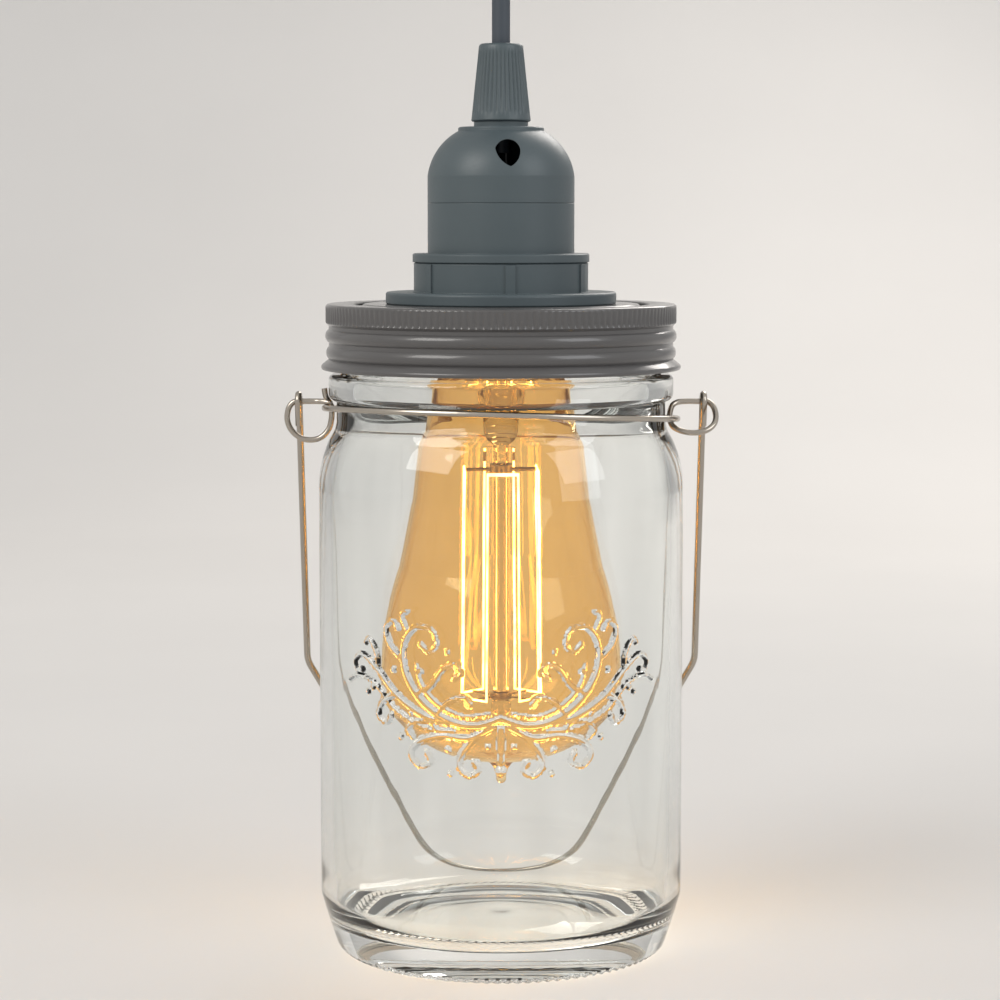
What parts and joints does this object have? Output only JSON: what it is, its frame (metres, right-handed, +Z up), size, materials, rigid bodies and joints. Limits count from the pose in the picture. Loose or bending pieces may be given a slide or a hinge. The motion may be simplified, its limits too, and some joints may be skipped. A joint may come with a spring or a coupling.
{
  "type": "mason jar lantern",
  "caption": "Pendant lantern made from a wide-mouth canning jar: cage-filament bulb on a lamp holder through the screw lid, cord above, wire bail handle at the back.",
  "frame": {"origin": "centre of the jar's foot ring, on the table", "axes": "+Z up along the jar's axis, -Y towards the viewer of the picture, +X to the right of the picture"},
  "size_m": [0.1176, 0.0971, 0.2946],
  "materials": {
    "clear_glass": "clear, polished",
    "steel_wire": "drawn wire",
    "lid_paint": "gloss",
    "seal_rubber": "matte",
    "holder_plastic": "fine satin",
    "core_ceramic": "satin",
    "contact_brass": "bright",
    "conductor_sleeve": "gloss",
    "cord_sleeve": "matte",
    "plate_steel": "zinc plated",
    "amber_glass": "clear amber",
    "base_black": "gloss",
    "stem_glass": "clear",
    "support_wire": "drawn wire",
    "filament_glow": "glowing"
  },
  "bodies": {
    "jar": {"glass_jar": "clear_glass", "neck_wire": "steel_wire", "ear_ring_left": "steel_wire", "ear_ring_right": "steel_wire"},
    "lamp": {"lid_disc": "lid_paint", "lid_gasket": "seal_rubber", "ring_upper": "holder_plastic", "ring_lower": "holder_plastic", "socket_body": "holder_plastic", "socket_cap": "holder_plastic", "socket_core": "core_ceramic", "screw_shell": "contact_brass", "centre_contact": "contact_brass", "terminal_left": "contact_brass", "terminal_right": "contact_brass", "conductor_left": "conductor_sleeve", "conductor_right": "conductor_sleeve", "cord_grip": "holder_plastic", "grip_collet": "holder_plastic", "supply_cord": "cord_sleeve", "ceiling_nut": "holder_plastic", "ceiling_cup": "holder_plastic", "cord_stop": "holder_plastic", "ceiling_plate": "plate_steel"},
    "band": {"lid_band": "lid_paint"},
    "bulb": {"bulb_glass": "amber_glass", "bulb_base": "contact_brass", "base_insulator": "base_black", "base_contact": "plate_steel", "glass_stem": "stem_glass", "filament": "filament_glow", "hooks_top": "support_wire", "hooks_low": "support_wire", "lead_left": "support_wire", "lead_right": "support_wire"},
    "bail": {"bail_handle": "steel_wire"}
  },
  "joints": [
    {"name": "lid_lift", "type": "slide", "parent": "jar", "child": "lamp", "axis": [0, 0, 1], "range_m": [0, 0.2]},
    {"name": "band_turn", "type": "hinge", "parent": "lamp", "child": "band", "pos_m": [0, 0, 0.16], "axis": [0, 0, 1], "range_deg": [0, 400]},
    {"name": "bulb_out", "type": "slide", "parent": "lamp", "child": "bulb", "axis": [0, 0, -1], "range_m": [0, 0.028]},
    {"name": "bail_swing", "type": "hinge", "parent": "jar", "child": "bail", "pos_m": [0, 0, 0.1438], "axis": [1, 0, 0], "range_deg": [0, 130]}
  ]
}
